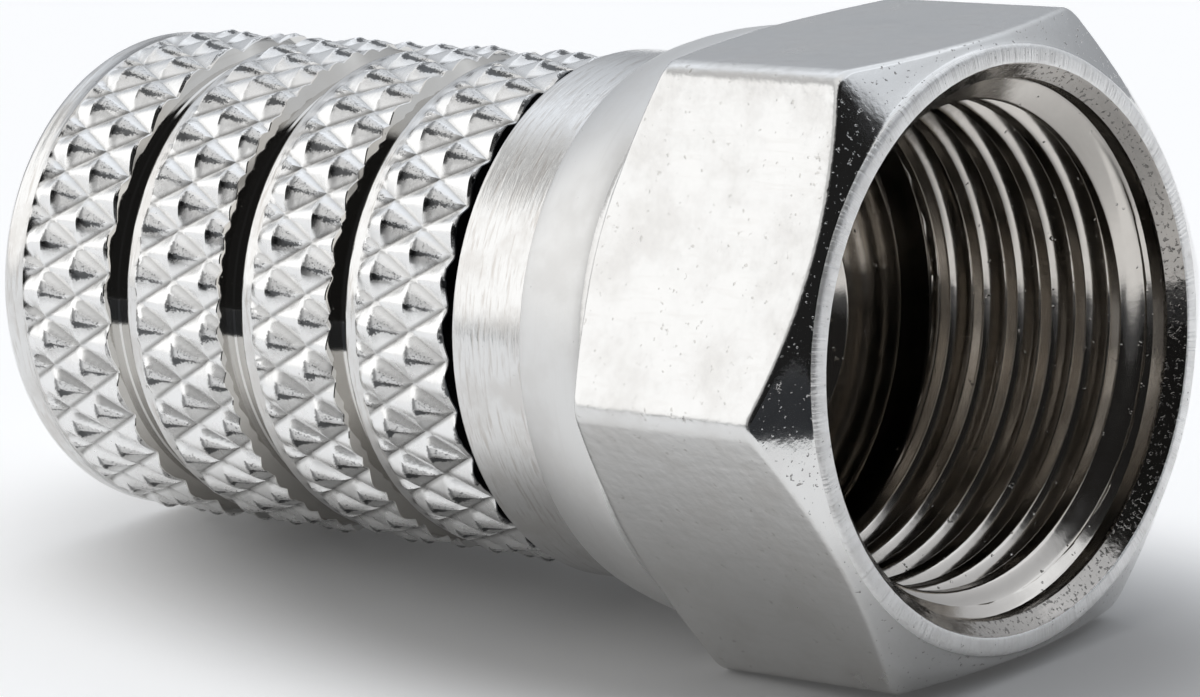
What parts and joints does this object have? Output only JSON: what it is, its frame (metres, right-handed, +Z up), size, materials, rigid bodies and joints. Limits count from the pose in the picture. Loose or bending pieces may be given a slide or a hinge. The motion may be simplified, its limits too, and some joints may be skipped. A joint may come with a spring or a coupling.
{
  "type": "coaxial f connector plug",
  "caption": "Twist-on coaxial plug: a diamond-knurled metal sleeve that screws onto the cable, with a swivelling hexagonal coupling nut threaded inside.",
  "frame": {"origin": "on the plug's axis where the coupling thread begins, just inside the nut's mouth", "axes": "+X along the axis and out of the mouth, +Z up, square to one flat of the nut; the plug lies on the flat below"},
  "size_m": [0.0212, 0.0126, 0.011],
  "materials": {
    "sleeve_plating": "bright nickel plate over turned and knurled brass",
    "nut_plating": "satin nickel plate over brass, lightly pitted on the flats"
  },
  "bodies": {
    "sleeve": {"sleeve": "sleeve_plating"},
    "nut": {"nut": "nut_plating"}
  },
  "joints": [
    {"name": "nut_swivel", "type": "hinge", "parent": "sleeve", "child": "nut", "pos_m": [0, 0, 0], "axis": [1, 0, 0], "continuous": true}
  ]
}
